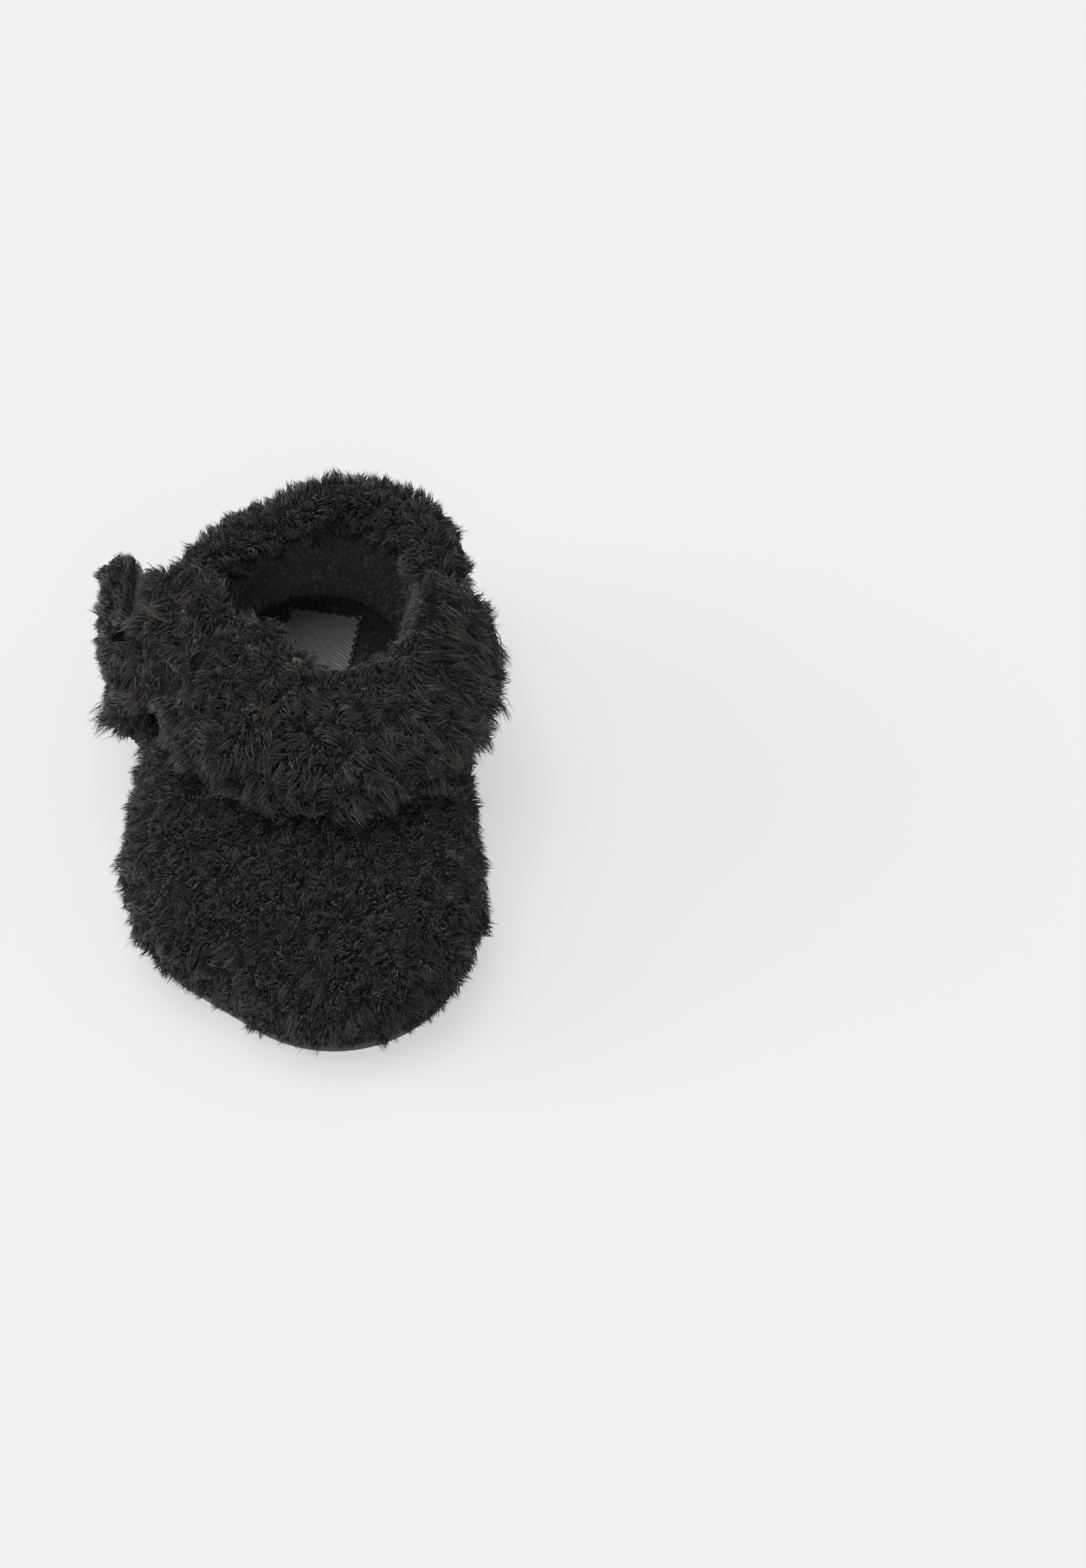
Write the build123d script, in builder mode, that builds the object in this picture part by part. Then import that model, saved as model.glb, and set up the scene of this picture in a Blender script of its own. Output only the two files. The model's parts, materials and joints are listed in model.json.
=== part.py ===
"""Pile-fleece baby bootie for the right foot, with a broad instep band and a touch-fastened side tab.

Millimetres. +Z is up, the toe points along -Y, the little-toe side is -X and the big-toe side is +X.
The origin is on the underside of the outsole, halfway along it.
"""

import os
from math import acos, atan2, cos, hypot, pi, radians, sin, tan

from build123d import *

os.makedirs("parts", exist_ok=True)

# ---------------------------------------------------------------- driving dimensions

# Sole
SOLE_LENGTH = 115.0
BALL_WIDTH = 66.0
HEEL_WIDTH = 50.0
TOE_RADIUS = 27.0
BALL_RADIUS = 27.0
TOE_X = 8.0  # the toe is fuller on the big-toe side
BALL_X = 1.0
HEEL_X = 1.5
BALL_LATERAL_Y = -22.0
BALL_MEDIAL_Y = -24.0
OUTSOLE_THICKNESS = 2.0
MIDSOLE_THICKNESS = 2.5
FOOTBED_THICKNESS = 3.0
SOLE_EDGE_RADIUS = 0.6

# Layers of the upper
PILE_THICKNESS = 5.0  # backing cloth and the pile that stands on it
LINING_THICKNESS = 2.0
SEAM_THREAD = 0.8  # width and height of the thread run round the sole
LAYER_GAP = 0.15  # play between neighbouring pieces that lie side by side

# Toe and heel walls
WALL_OVERHANG = 1.0  # how far the pile stands out over the sole's edge
WALL_BULGE = 4.0
BULGE_HEIGHT = 12.0
INSTEP_HEIGHT = 35.8  # top of the vamp, measured over the origin
DOME_FULLNESS = 0.75  # 1 is an ellipse in section, and less is squarer
DOME_LEVELS = 5  # sections that the dome is drawn through, above its widest one
DOME_TURN = 86.4  # how far round the ellipse the dome's skin goes before its flat crown, in degrees
CROWN_HALF_WIDTH = 2.0  # of the crown of the innermost skin
INSTEP_PITCH = 14.0  # how steeply the vamp and the band rise towards the ankle, in degrees
SIDE_SEAM_Y = 2.0
THROAT_Y = -8.0
THROAT_WIDTH = 34.0
HEEL_TOP_X = 1.5  # centre and radius of the heel's round under the collar
HEEL_TOP_SETBACK = 31.0
HEEL_TOP_RADIUS = 27.3
HEEL_TUCK = 1.0  # how far the heel's wall leans in from its bulge to the collar
SKIN_DROP = 0.1  # how much lower each inner skin starts, as a share of how deep it is
BULGE_LEAN = 0.5  # how much of the change from the sole's to the collar's round is done at the bulge

# Heel collar, a padded roll that follows the ankle, so it reaches further back on the big-toe side
COLLAR_RADIAL = 13.0
COLLAR_HEIGHT = 16.0
COLLAR_LATERAL_X = -24.5  # of the roll's centre line, along its two sides
COLLAR_MEDIAL_X = 25.5
COLLAR_LATERAL_SETBACK = 19.5  # of the centre line's two corners, before they are rounded
COLLAR_MEDIAL_SETBACK = -5.2
COLLAR_LATERAL_RADIUS = 22.0
COLLAR_MEDIAL_RADIUS = 17.0
COLLAR_PIVOT_SETBACK = 5.5  # of the line across the heel that the roll is pitched about
COLLAR_LEVEL = 36.0  # of the roll's centre, at the back of the heel
COLLAR_PITCH = 10.0
COLLAR_FRONT_Y = 8.0
COLLAR_SEAT = 6.5  # how far the roll's flat underside is below its centre line
COLLAR_CORE_SHARE = 0.6

# Instep band
INSTEP_GAP = 2.2  # between the vamp's crown and the band
BAND_TOP_Y = -12.0
BAND_LATERAL_STAND = 4.5  # how far the band stands out past the sole's widest place
BAND_MEDIAL_STAND = 6.0
BAND_THICK_TOP = 7.5
BAND_THICK_LATERAL = 5.3
BAND_THICK_MEDIAL = 7.8
BAND_SHOULDER_RADIUS = 17.0
BAND_INNER_SHOULDER_RADIUS = 11.0
BAND_FRONT_Y = -25.0
BAND_REAR_Y = 26.0
BAND_SIDE_FRONT_Y = 1.0
BAND_LATERAL_REAR_Y = 17.7
BAND_LATERAL_BOTTOM = 26.0
BAND_MEDIAL_BOTTOM = 22.0
BAND_FRONT_TAPER = 4.0  # how much narrower than the band its curved front edge is, on each side
BAND_FRONT_OVERRUN = 2.0  # how far behind the side's front the curve begins
# Centres and radii of the rounds that the opening's edge is drawn tightly around.
OPENING_ROUNDS = ((-7.0, 30.0, 12.0), (8.0, 17.0, 12.0), (9.0, 30.0, 14.0))
HINGE_ANGLE = 45.0  # where on the medial shoulder the band folds, from level
FOLD_GAP = 0.3

# Fastening tab
TAB_STAND = 4.3  # how far the tab stands out past the band
TAB_CLEARANCE = 1.2  # between the tab's back and what it lies over
TAB_FRONT_Y = 4.6
TAB_REAR_Y = 37.0
TAB_BOTTOM = 12.0
TAB_TOP = 37.0
TAB_CORNER_RADIUS = 8.0
TAB_BACKING_THICKNESS = 0.8

# Touch fastener
LOOP_LENGTH = 17.0
LOOP_HEIGHT = 11.0
LOOP_THICKNESS = 1.0
LOOP_CENTRE_Y = 27.0
LOOP_CENTRE_Z = 17.5
HOOK_LENGTH = 14.0
HOOK_HEIGHT = 8.4
HOOK_BASE = 0.5
HOOK_FIELD = 0.4
HOOK_MARGIN = 1.6
TAPE_GAP = 0.3

# Woven label
LABEL_WIDTH = 15.7
LABEL_LENGTH = 30.0
LABEL_THICKNESS = 0.4
LABEL_CENTRE = (0.5, 31.5)
LABEL_TURN = -8.0

# Sewing thread
THREAD_WIDTH = 0.4
THREAD_HEIGHT = 0.25
STITCH_LENGTH = 2.2
STITCH_PITCH = 3.0
ZIGZAG_PITCH = 1.9
ZIGZAG_WIDTH = 1.7

# ---------------------------------------------------------------- worked-out sizes

TOE_Y = -SOLE_LENGTH / 2
HEEL_Y = SOLE_LENGTH / 2
HEEL_RADIUS = HEEL_WIDTH / 2
# Centres and radii of the four rounds that the sole's outline is drawn tightly around.
TOE_ROUND = (TOE_X, TOE_Y + TOE_RADIUS, TOE_RADIUS)
LATERAL_ROUND = (BALL_X - BALL_WIDTH / 2 + BALL_RADIUS, BALL_LATERAL_Y, BALL_RADIUS)
MEDIAL_ROUND = (BALL_X + BALL_WIDTH / 2 - BALL_RADIUS, BALL_MEDIAL_Y, BALL_RADIUS)
HEEL_ROUND = (HEEL_X, HEEL_Y - HEEL_RADIUS, HEEL_RADIUS)

SHELL_SHARE = 0.67  # of the band's thickness, from its outer face
PADDING_SHARE = 0.85

MIDSOLE_TOP = OUTSOLE_THICKNESS + MIDSOLE_THICKNESS
FOOTBED_TOP = MIDSOLE_TOP + FOOTBED_THICKNESS
UPPER_THICKNESS = PILE_THICKNESS + LINING_THICKNESS
COLLAR_PIVOT_Y = HEEL_Y - COLLAR_PIVOT_SETBACK
BAND_LATERAL_X = BALL_X - BALL_WIDTH / 2 - BAND_LATERAL_STAND
BAND_MEDIAL_X = BALL_X + BALL_WIDTH / 2 + BAND_MEDIAL_STAND
BAND_CENTRE_X = (BAND_LATERAL_X + BAND_MEDIAL_X) / 2
BAND_TOP = INSTEP_HEIGHT + BAND_TOP_Y * tan(radians(INSTEP_PITCH)) + INSTEP_GAP + BAND_THICK_TOP
FAR = 2 * SOLE_LENGTH  # larger than the bootie, for cutting blocks


def pitched_plane(height, pitch):
    """A level plane through (0, 0, height), turned about X so that it rises towards the heel."""
    return Plane(
        origin=(0, 0, height),
        x_dir=(1, 0, 0),
        z_dir=(0, -sin(radians(pitch)), cos(radians(pitch))),
    )


def hull_face(plane, rounds, grow=0.0):
    """The face inside a line drawn tightly around circles of these centres and radii, grown by so many mm."""
    with BuildSketch(plane) as outline:
        with BuildLine():
            for x, y, radius in rounds:
                CenterArc((x, y), radius + grow, 0, 360)
        make_hull()
    return outline.sketch.face()


def heel_round(lean):
    """Centre and radius of the heel's round, from the sole's at a lean of 0 to the collar's at 1."""
    top = (HEEL_TOP_X, HEEL_Y - HEEL_TOP_SETBACK, HEEL_TOP_RADIUS)
    return tuple(low + lean * (high - low) for low, high in zip(HEEL_ROUND, top))


def sole_sketch(plane, grow, lean=0.0):
    """The sole's outline, grown by so many mm, with its heel leaned towards the collar's round."""
    return hull_face(plane, (TOE_ROUND, LATERAL_ROUND, MEDIAL_ROUND, heel_round(lean)), grow)


def lateral_wall_x(y, grow, lean):
    """Where the straight side of that outline is on the little-toe side, at this y."""
    ball_x, ball_y, ball_r = LATERAL_ROUND
    heel_x, heel_y, heel_r = heel_round(lean)
    span = hypot(heel_x - ball_x, heel_y - ball_y)
    outward = atan2(heel_y - ball_y, heel_x - ball_x) + acos((ball_r - heel_r) / span)
    reach = ball_x * cos(outward) + ball_y * sin(outward) + ball_r + grow
    return (reach - y * sin(outward)) / cos(outward)


def wall_base(inset):
    """Where a skin starts. A deeper one starts lower, so that it cuts right through the base of the outer one."""
    return OUTSOLE_THICKNESS - inset * SKIN_DROP


def dome(inset):
    """The toe and instep, as a solid, its skin moved inwards by inset."""
    rise = INSTEP_HEIGHT - BULGE_HEIGHT
    reach = WALL_BULGE + HEEL_RADIUS - UPPER_THICKNESS - CROWN_HALF_WIDTH
    levels = [sole_sketch(Plane.XY.offset(wall_base(inset)), WALL_OVERHANG - inset)]
    for step in range(DOME_LEVELS + 1):
        angle = step / DOME_LEVELS * radians(DOME_TURN)
        across = 1 - cos(angle) ** DOME_FULLNESS
        up = sin(angle) ** DOME_FULLNESS
        height = BULGE_HEIGHT + up * (rise - inset)
        plane = pitched_plane(height, INSTEP_PITCH * up)
        levels.append(sole_sketch(plane, WALL_BULGE - inset - across * reach))
    with BuildPart() as block:
        loft(levels)
    return block.part


def heel_block(inset):
    """The heel's walls, as a solid up to the collar's seat, its skin moved inwards by inset."""
    levels = [
        sole_sketch(Plane.XY.offset(wall_base(inset)), WALL_OVERHANG - inset),
        sole_sketch(Plane.XY.offset(BULGE_HEIGHT), WALL_BULGE - inset, BULGE_LEAN),
        sole_sketch(Plane.XY.offset(COLLAR_LEVEL), WALL_BULGE - inset - HEEL_TUCK, 1.0),
    ]
    with BuildPart() as block:
        loft(levels)
    return block.part



def flat_layer(grow, bottom, thickness):
    """A flat sheet of the sole's outline."""
    face = sole_sketch(Plane.XY.offset(bottom), grow)
    with BuildPart() as layer:
        extrude(face, amount=thickness, dir=(0, 0, 1))
    return layer.part


def collar_roll(share):
    """The padded roll round the heel, its section scaled by share."""
    front, lateral_corner, medial_corner = (
        (y - COLLAR_PIVOT_Y) / cos(radians(COLLAR_PITCH))
        for y in (COLLAR_FRONT_Y, HEEL_Y - COLLAR_LATERAL_SETBACK, HEEL_Y - COLLAR_MEDIAL_SETBACK)
    )
    with BuildPart() as roll:
        with BuildLine(COLLAR_PLANE) as path:
            FilletPolyline(
                (COLLAR_LATERAL_X, front),
                (COLLAR_LATERAL_X, lateral_corner),
                (COLLAR_MEDIAL_X, medial_corner),
                (COLLAR_MEDIAL_X, front),
                radius=(COLLAR_LATERAL_RADIUS, COLLAR_MEDIAL_RADIUS),
            )
        start = path.line @ 0
        with BuildSketch(Plane(origin=start, x_dir=(1, 0, 0), z_dir=path.line % 0)):
            Ellipse(COLLAR_RADIAL / 2 * share, COLLAR_HEIGHT / 2 * share)
        sweep(path=path.line)
        split(bisect_by=SEAT_PLANE, keep=Keep.TOP)
    return roll.part


def arch_face(share):
    """The band's section at this share of its thickness, 0 on its outer and 1 on its inner face."""
    low = BAND_LATERAL_X + share * BAND_THICK_LATERAL
    high = BAND_MEDIAL_X - share * BAND_THICK_MEDIAL
    top = -share * BAND_THICK_TOP
    radius = BAND_SHOULDER_RADIUS + share * (BAND_INNER_SHOULDER_RADIUS - BAND_SHOULDER_RADIUS)
    depth = 2 * BAND_TOP
    with BuildSketch(BAND_PLANE) as face:
        with Locations(((low + high) / 2, top - depth / 2)):
            RectangleRounded(high - low, depth, radius)
    return face.sketch


def band_layer(outer_share, inner_share):
    """One layer of the band over its whole width, from its lateral end to its sewn medial side."""
    outer = arch_face(outer_share)
    inner = arch_face(inner_share)
    front_half_width = (BAND_MEDIAL_X - BAND_LATERAL_X) / 2 - BAND_FRONT_TAPER
    curve_start = BAND_SIDE_FRONT_Y + BAND_FRONT_OVERRUN
    opening = hull_face(Plane.XY, OPENING_ROUNDS)
    inner_lateral = BAND_LATERAL_X + BAND_THICK_LATERAL
    with BuildPart() as layer:
        extrude(outer, amount=FAR, both=True)
        extrude(inner, amount=FAR, both=True, mode=Mode.SUBTRACT)
        with BuildSketch(Plane.XY):
            with Locations((BAND_MEDIAL_X - front_half_width, curve_start)):
                Ellipse(front_half_width, curve_start - BAND_FRONT_Y)
            with Locations((inner_lateral, BAND_SIDE_FRONT_Y)):
                Rectangle(
                    FAR,
                    BAND_REAR_Y - BAND_SIDE_FRONT_Y,
                    align=(Align.MIN, Align.MIN),
                )
            with Locations((inner_lateral, BAND_SIDE_FRONT_Y)):
                Rectangle(
                    FAR,
                    BAND_LATERAL_REAR_Y - BAND_SIDE_FRONT_Y,
                    align=(Align.MAX, Align.MIN),
                )
            add(opening, mode=Mode.SUBTRACT)
        extrude(amount=FAR, mode=Mode.INTERSECT)
        with Locations((0, 0, 0)):
            Box(
                FAR,
                FAR,
                BAND_LATERAL_BOTTOM,
                align=(Align.MAX, Align.CENTER, Align.MIN),
                mode=Mode.SUBTRACT,
            )
            Box(
                FAR,
                FAR,
                BAND_MEDIAL_BOTTOM,
                align=(Align.MIN, Align.CENTER, Align.MIN),
                mode=Mode.SUBTRACT,
            )
    return layer.part


def dash_line(start, end):
    """Centres of the stitches on a straight seam, as points on the seam's plane."""
    (x0, y0), (x1, y1) = start, end
    length = hypot(x1 - x0, y1 - y0)
    count = max(1, round(length / STITCH_PITCH))
    return [
        (x0 + (x1 - x0) * (i + 0.5) / count, y0 + (y1 - y0) * (i + 0.5) / count)
        for i in range(count)
    ]


def box_seam(plane, length, height):
    """Lockstitches round a rectangle, each a short bar that lies on the plane."""
    half_l, half_h = length / 2, height / 2
    with BuildPart() as seam:
        with BuildSketch(plane):
            for level in (-half_h, half_h):
                with Locations(*dash_line((-half_l, level), (half_l, level))):
                    Rectangle(STITCH_LENGTH, THREAD_WIDTH)
            for side in (-half_l, half_l):
                with Locations(*dash_line((side, -half_h), (side, half_h))):
                    Rectangle(THREAD_WIDTH, STITCH_LENGTH)
        extrude(amount=THREAD_HEIGHT)
    return seam.part


COLLAR_PLANE = Plane(
    origin=(0, COLLAR_PIVOT_Y, COLLAR_LEVEL),
    x_dir=(1, 0, 0),
    z_dir=(0, -sin(radians(COLLAR_PITCH)), cos(radians(COLLAR_PITCH))),
)
SEAT_PLANE = COLLAR_PLANE.offset(-COLLAR_SEAT)
# The band's own plane: its x is the bootie's, its y is square to the band's top.
BAND_RUN = Vector(0, cos(radians(INSTEP_PITCH)), sin(radians(INSTEP_PITCH)))
BAND_PLANE = Plane(
    origin=(0, BAND_TOP_Y, BAND_TOP),
    x_dir=(1, 0, 0),
    z_dir=BAND_RUN * -1,
)
# The band folds about a line on the outer face of its medial shoulder.
FOLD_ANGLE = radians(HINGE_ANGLE)
FOLD_POINT = BAND_PLANE.from_local_coords(
    Vector(
        BAND_MEDIAL_X - BAND_SHOULDER_RADIUS * (1 - cos(FOLD_ANGLE)),
        -BAND_SHOULDER_RADIUS * (1 - sin(FOLD_ANGLE)),
        0,
    )
)
FOLD_ALONG = BAND_PLANE.x_dir * -sin(FOLD_ANGLE) + BAND_PLANE.y_dir * cos(FOLD_ANGLE)
FOLD_PLANE = Plane(origin=FOLD_POINT, x_dir=BAND_RUN, z_dir=FOLD_ALONG)

TAB_STEP_Y = BAND_LATERAL_REAR_Y + 2 * TAPE_GAP
# The tab's back clears whichever stands out most of the heel's wall, the collar and the band's inner face.
HOOK_BACK_X = (
    min(
        lateral_wall_x(TAB_STEP_Y, WALL_BULGE, BULGE_LEAN),
        COLLAR_LATERAL_X - COLLAR_RADIAL / 2,
        BAND_LATERAL_X + BAND_THICK_LATERAL,
    )
    - TAB_CLEARANCE
)
HOOK_MARGIN_X = HOOK_BACK_X + HOOK_BASE
HOOK_FACE_X = HOOK_MARGIN_X + HOOK_FIELD
LOOP_FACE_X = HOOK_FACE_X + TAPE_GAP
TAB_INNER_X = HOOK_BACK_X - TAB_BACKING_THICKNESS
TAB_OUTER_X = BAND_LATERAL_X - TAB_STAND

vamp_outer, vamp_middle, vamp_inner = dome(0), dome(PILE_THICKNESS), dome(UPPER_THICKNESS)
heel_outer, heel_middle, heel_inner = (
    heel_block(0),
    heel_block(PILE_THICKNESS),
    heel_block(UPPER_THICKNESS),
)

# ---------------------------------------------------------------- sole

with BuildPart() as outsole:
    add(flat_layer(0, 0, OUTSOLE_THICKNESS))
    fillet(outsole.edges().group_by(Axis.Z)[-1], SOLE_EDGE_RADIUS)
outsole.part.label = "outsole"
export_step(outsole.part, "parts/outsole.step")

inner_foot = WALL_OVERHANG - UPPER_THICKNESS - LAYER_GAP

with BuildPart() as sole_seam_thread:
    add(flat_layer(inner_foot, OUTSOLE_THICKNESS, SEAM_THREAD))
    add(
        flat_layer(inner_foot - SEAM_THREAD, OUTSOLE_THICKNESS, SEAM_THREAD),
        mode=Mode.SUBTRACT,
    )
sole_seam_thread.part.label = "sole_seam_thread"
export_step(sole_seam_thread.part, "parts/sole_seam_thread.step")

with BuildPart() as midsole_foam:
    foam_edge = inner_foot - SEAM_THREAD - LAYER_GAP
    add(flat_layer(foam_edge, OUTSOLE_THICKNESS, MIDSOLE_THICKNESS))
midsole_foam.part.label = "midsole_foam"
export_step(midsole_foam.part, "parts/midsole_foam.step")

with BuildPart() as footbed:
    add(flat_layer(inner_foot, MIDSOLE_TOP, FOOTBED_THICKNESS))
footbed.part.label = "footbed"
export_step(footbed.part, "parts/footbed.step")

# ---------------------------------------------------------------- woven label

label_x, label_y = LABEL_CENTRE
LABEL_PLANE = Plane(origin=(label_x, label_y, FOOTBED_TOP)).rotated((0, 0, LABEL_TURN))

with BuildPart() as woven_label:
    with BuildSketch(LABEL_PLANE):
        Rectangle(LABEL_WIDTH, LABEL_LENGTH)
    extrude(amount=LABEL_THICKNESS)
woven_label.part.label = "woven_label"
export_step(woven_label.part, "parts/woven_label.step")


def zigzag_leg(start, end):
    """One slanting thread of the zigzag, from one point to the next."""
    (x0, y0), (x1, y1) = start, end
    length = hypot(x1 - x0, y1 - y0)
    direction = Vector(x1 - x0, y1 - y0, 0)
    turn = direction.get_signed_angle(Vector(1, 0, 0), Vector(0, 0, -1))
    with Locations(Location(((x0 + x1) / 2, (y0 + y1) / 2, 0), (0, 0, turn))):
        SlotOverall(length + THREAD_WIDTH / 2, THREAD_WIDTH)


with BuildPart() as label_stitching:
    with BuildSketch(LABEL_PLANE.offset(LABEL_THICKNESS)):
        for length, across, turned in (
            (LABEL_WIDTH, LABEL_LENGTH / 2, False),
            (LABEL_LENGTH, LABEL_WIDTH / 2, True),
        ):
            legs = 2 * round((length - ZIGZAG_WIDTH) / ZIGZAG_PITCH)
            step = (length - ZIGZAG_WIDTH) / legs
            for side in (-1, 1):
                for i in range(legs):
                    ends = []
                    for k in (i, i + 1):
                        along = -length / 2 + ZIGZAG_WIDTH / 2 + k * step
                        out = side * (across + (k % 2 - 0.8) * ZIGZAG_WIDTH / 2)
                        ends.append((out, along) if turned else (along, out))
                    zigzag_leg(*ends)
    extrude(amount=THREAD_HEIGHT)
label_stitching.part.label = "label_stitching"
export_step(label_stitching.part, "parts/label_stitching.step")

# ---------------------------------------------------------------- toe


def throat_cut():
    """The U-shaped cut in the back of the vamp that the foot enters over."""
    depth = SIDE_SEAM_Y - THROAT_Y
    with BuildPart() as block:
        with BuildSketch(Plane.XY.offset(FOOTBED_TOP + BULGE_HEIGHT)):
            with Locations((BAND_CENTRE_X, SIDE_SEAM_Y)):
                Ellipse(THROAT_WIDTH / 2, depth)
        extrude(amount=FAR)
    return block.part


throat = throat_cut()


def toe_layer(outer, inner):
    """The part of a shell between two domes that lies in front of the side seams."""
    with BuildPart() as layer:
        add(outer)
        add(inner, mode=Mode.SUBTRACT)
        add(throat, mode=Mode.SUBTRACT)
        with Locations((0, SIDE_SEAM_Y - LAYER_GAP / 2, 0)):
            Box(FAR, FAR, FAR, align=(Align.CENTER, Align.MIN, Align.CENTER), mode=Mode.SUBTRACT)
        with Locations((0, 0, OUTSOLE_THICKNESS)):
            Box(FAR, FAR, FAR, align=(Align.CENTER, Align.CENTER, Align.MAX), mode=Mode.SUBTRACT)
    return layer.part


def heel_layer(outer, inner):
    """The part of a shell between two heel blocks behind the side seams, below the collar's seat."""
    with BuildPart() as layer:
        add(outer)
        add(inner, mode=Mode.SUBTRACT)
        with Locations((0, SIDE_SEAM_Y + LAYER_GAP / 2, 0)):
            Box(FAR, FAR, FAR, align=(Align.CENTER, Align.MAX, Align.CENTER), mode=Mode.SUBTRACT)
        with Locations((0, 0, OUTSOLE_THICKNESS)):
            Box(FAR, FAR, FAR, align=(Align.CENTER, Align.CENTER, Align.MAX), mode=Mode.SUBTRACT)
        split(bisect_by=SEAT_PLANE, keep=Keep.BOTTOM)
    return layer.part


with BuildPart() as vamp_shell:
    add(toe_layer(vamp_outer, vamp_middle))
vamp_shell.part.label = "vamp_shell"
export_step(vamp_shell.part, "parts/vamp_shell.step")

with BuildPart() as vamp_lining:
    add(toe_layer(vamp_middle, vamp_inner))
vamp_lining.part.label = "vamp_lining"
export_step(vamp_lining.part, "parts/vamp_lining.step")

# ---------------------------------------------------------------- heel and collar

loop_back_x = LOOP_FACE_X + LOOP_THICKNESS

with BuildPart() as heel_shell:
    add(heel_layer(heel_outer, heel_middle))
    with Locations((loop_back_x, LOOP_CENTRE_Y, LOOP_CENTRE_Z)):
        Box(
            FAR,
            LOOP_LENGTH + 2 * LAYER_GAP,
            LOOP_HEIGHT + 2 * LAYER_GAP,
            align=(Align.MAX, Align.CENTER, Align.CENTER),
            mode=Mode.SUBTRACT,
        )
heel_shell.part.label = "heel_shell"
export_step(heel_shell.part, "parts/heel_shell.step")

with BuildPart() as heel_lining:
    add(heel_layer(heel_middle, heel_inner))
heel_lining.part.label = "heel_lining"
export_step(heel_lining.part, "parts/heel_lining.step")

with BuildPart() as collar_cover:
    add(collar_roll(1))
    add(collar_roll(COLLAR_CORE_SHARE), mode=Mode.SUBTRACT)
collar_cover.part.label = "collar_cover"
export_step(collar_cover.part, "parts/collar_cover.step")

with BuildPart() as collar_padding:
    add(collar_roll(COLLAR_CORE_SHARE))
collar_padding.part.label = "collar_padding"
export_step(collar_padding.part, "parts/collar_padding.step")

with BuildPart() as loop_tape:
    with Locations((LOOP_FACE_X, LOOP_CENTRE_Y, LOOP_CENTRE_Z)):
        Box(
            LOOP_THICKNESS,
            LOOP_LENGTH,
            LOOP_HEIGHT,
            align=(Align.MIN, Align.CENTER, Align.CENTER),
        )
loop_tape.part.label = "loop_tape"
export_step(loop_tape.part, "parts/loop_tape.step")

# Looking along +X at the lateral side: the seam's x runs along -Y and its y along +Z.
LOOP_SEAM_PLANE = Plane(
    origin=(LOOP_FACE_X, LOOP_CENTRE_Y, LOOP_CENTRE_Z),
    x_dir=(0, -1, 0),
    z_dir=(-1, 0, 0),
)
with BuildPart() as loop_tape_stitching:
    add(box_seam(LOOP_SEAM_PLANE, LOOP_LENGTH - HOOK_MARGIN / 2, LOOP_HEIGHT - HOOK_MARGIN / 2))
loop_tape_stitching.part.label = "loop_tape_stitching"
export_step(loop_tape_stitching.part, "parts/loop_tape_stitching.step")

# ---------------------------------------------------------------- instep band


def band_root_layer(outer_share, inner_share):
    """The band's sewn medial side, below the line that it folds along."""
    with BuildPart() as layer:
        add(band_layer(outer_share, inner_share))
        split(bisect_by=FOLD_PLANE.offset(-FOLD_GAP / 2), keep=Keep.BOTTOM)
        add(heel_outer, mode=Mode.SUBTRACT)
        add(vamp_outer, mode=Mode.SUBTRACT)
    return layer.part


def strap_layer(outer_share, inner_share):
    """The part of the band that lifts off the instep."""
    with BuildPart() as layer:
        add(band_layer(outer_share, inner_share))
        split(bisect_by=FOLD_PLANE.offset(FOLD_GAP / 2), keep=Keep.TOP)
    return layer.part


with BuildPart() as band_root:
    add(band_root_layer(0, SHELL_SHARE))
band_root.part.label = "band_root"
export_step(band_root.part, "parts/band_root.step")

with BuildPart() as band_root_lining:
    add(band_root_layer(SHELL_SHARE, 1))
band_root_lining.part.label = "band_root_lining"
export_step(band_root_lining.part, "parts/band_root_lining.step")

with BuildPart() as instep_band:
    add(strap_layer(0, SHELL_SHARE))
instep_band.part.label = "instep_band"
export_step(instep_band.part, "parts/instep_band.step")

with BuildPart() as band_padding:
    add(strap_layer(SHELL_SHARE, PADDING_SHARE))
band_padding.part.label = "band_padding"
export_step(band_padding.part, "parts/band_padding.step")

with BuildPart() as band_lining:
    add(strap_layer(PADDING_SHARE, 1))
band_lining.part.label = "band_lining"
export_step(band_lining.part, "parts/band_lining.step")

# ---------------------------------------------------------------- fastening tab

TAB_LEVEL = (TAB_BOTTOM + TAB_TOP) / 2

with BuildPart() as fastening_tab:
    with BuildSketch(Plane.XY.offset(TAB_BOTTOM)):
        with Locations((TAB_OUTER_X, TAB_FRONT_Y)):
            Rectangle(
                BAND_LATERAL_X - TAPE_GAP - TAB_OUTER_X,
                TAB_REAR_Y - TAB_FRONT_Y,
                align=(Align.MIN, Align.MIN),
            )
        with Locations((TAB_OUTER_X, TAB_REAR_Y)):
            Rectangle(
                TAB_INNER_X - TAB_OUTER_X,
                TAB_REAR_Y - TAB_STEP_Y,
                align=(Align.MIN, Align.MAX),
            )
    extrude(amount=TAB_TOP - TAB_BOTTOM)
    fillet(
        fastening_tab.edges().filter_by(Axis.X).group_by(Axis.Y)[-1],
        TAB_CORNER_RADIUS,
    )
fastening_tab.part.label = "fastening_tab"
export_step(fastening_tab.part, "parts/fastening_tab.step")

with BuildPart() as tab_backing:
    with BuildSketch(Plane.YZ.offset(TAB_INNER_X)):
        with Locations((TAB_REAR_Y, TAB_LEVEL)):
            Rectangle(
                TAB_REAR_Y - TAB_STEP_Y,
                TAB_TOP - TAB_BOTTOM,
                align=(Align.MAX, Align.CENTER),
            )
    extrude(amount=TAB_BACKING_THICKNESS)
    fillet(
        tab_backing.edges().filter_by(Axis.X).group_by(Axis.Y)[-1],
        TAB_CORNER_RADIUS,
    )
tab_backing.part.label = "tab_backing"
export_step(tab_backing.part, "parts/tab_backing.step")

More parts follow.
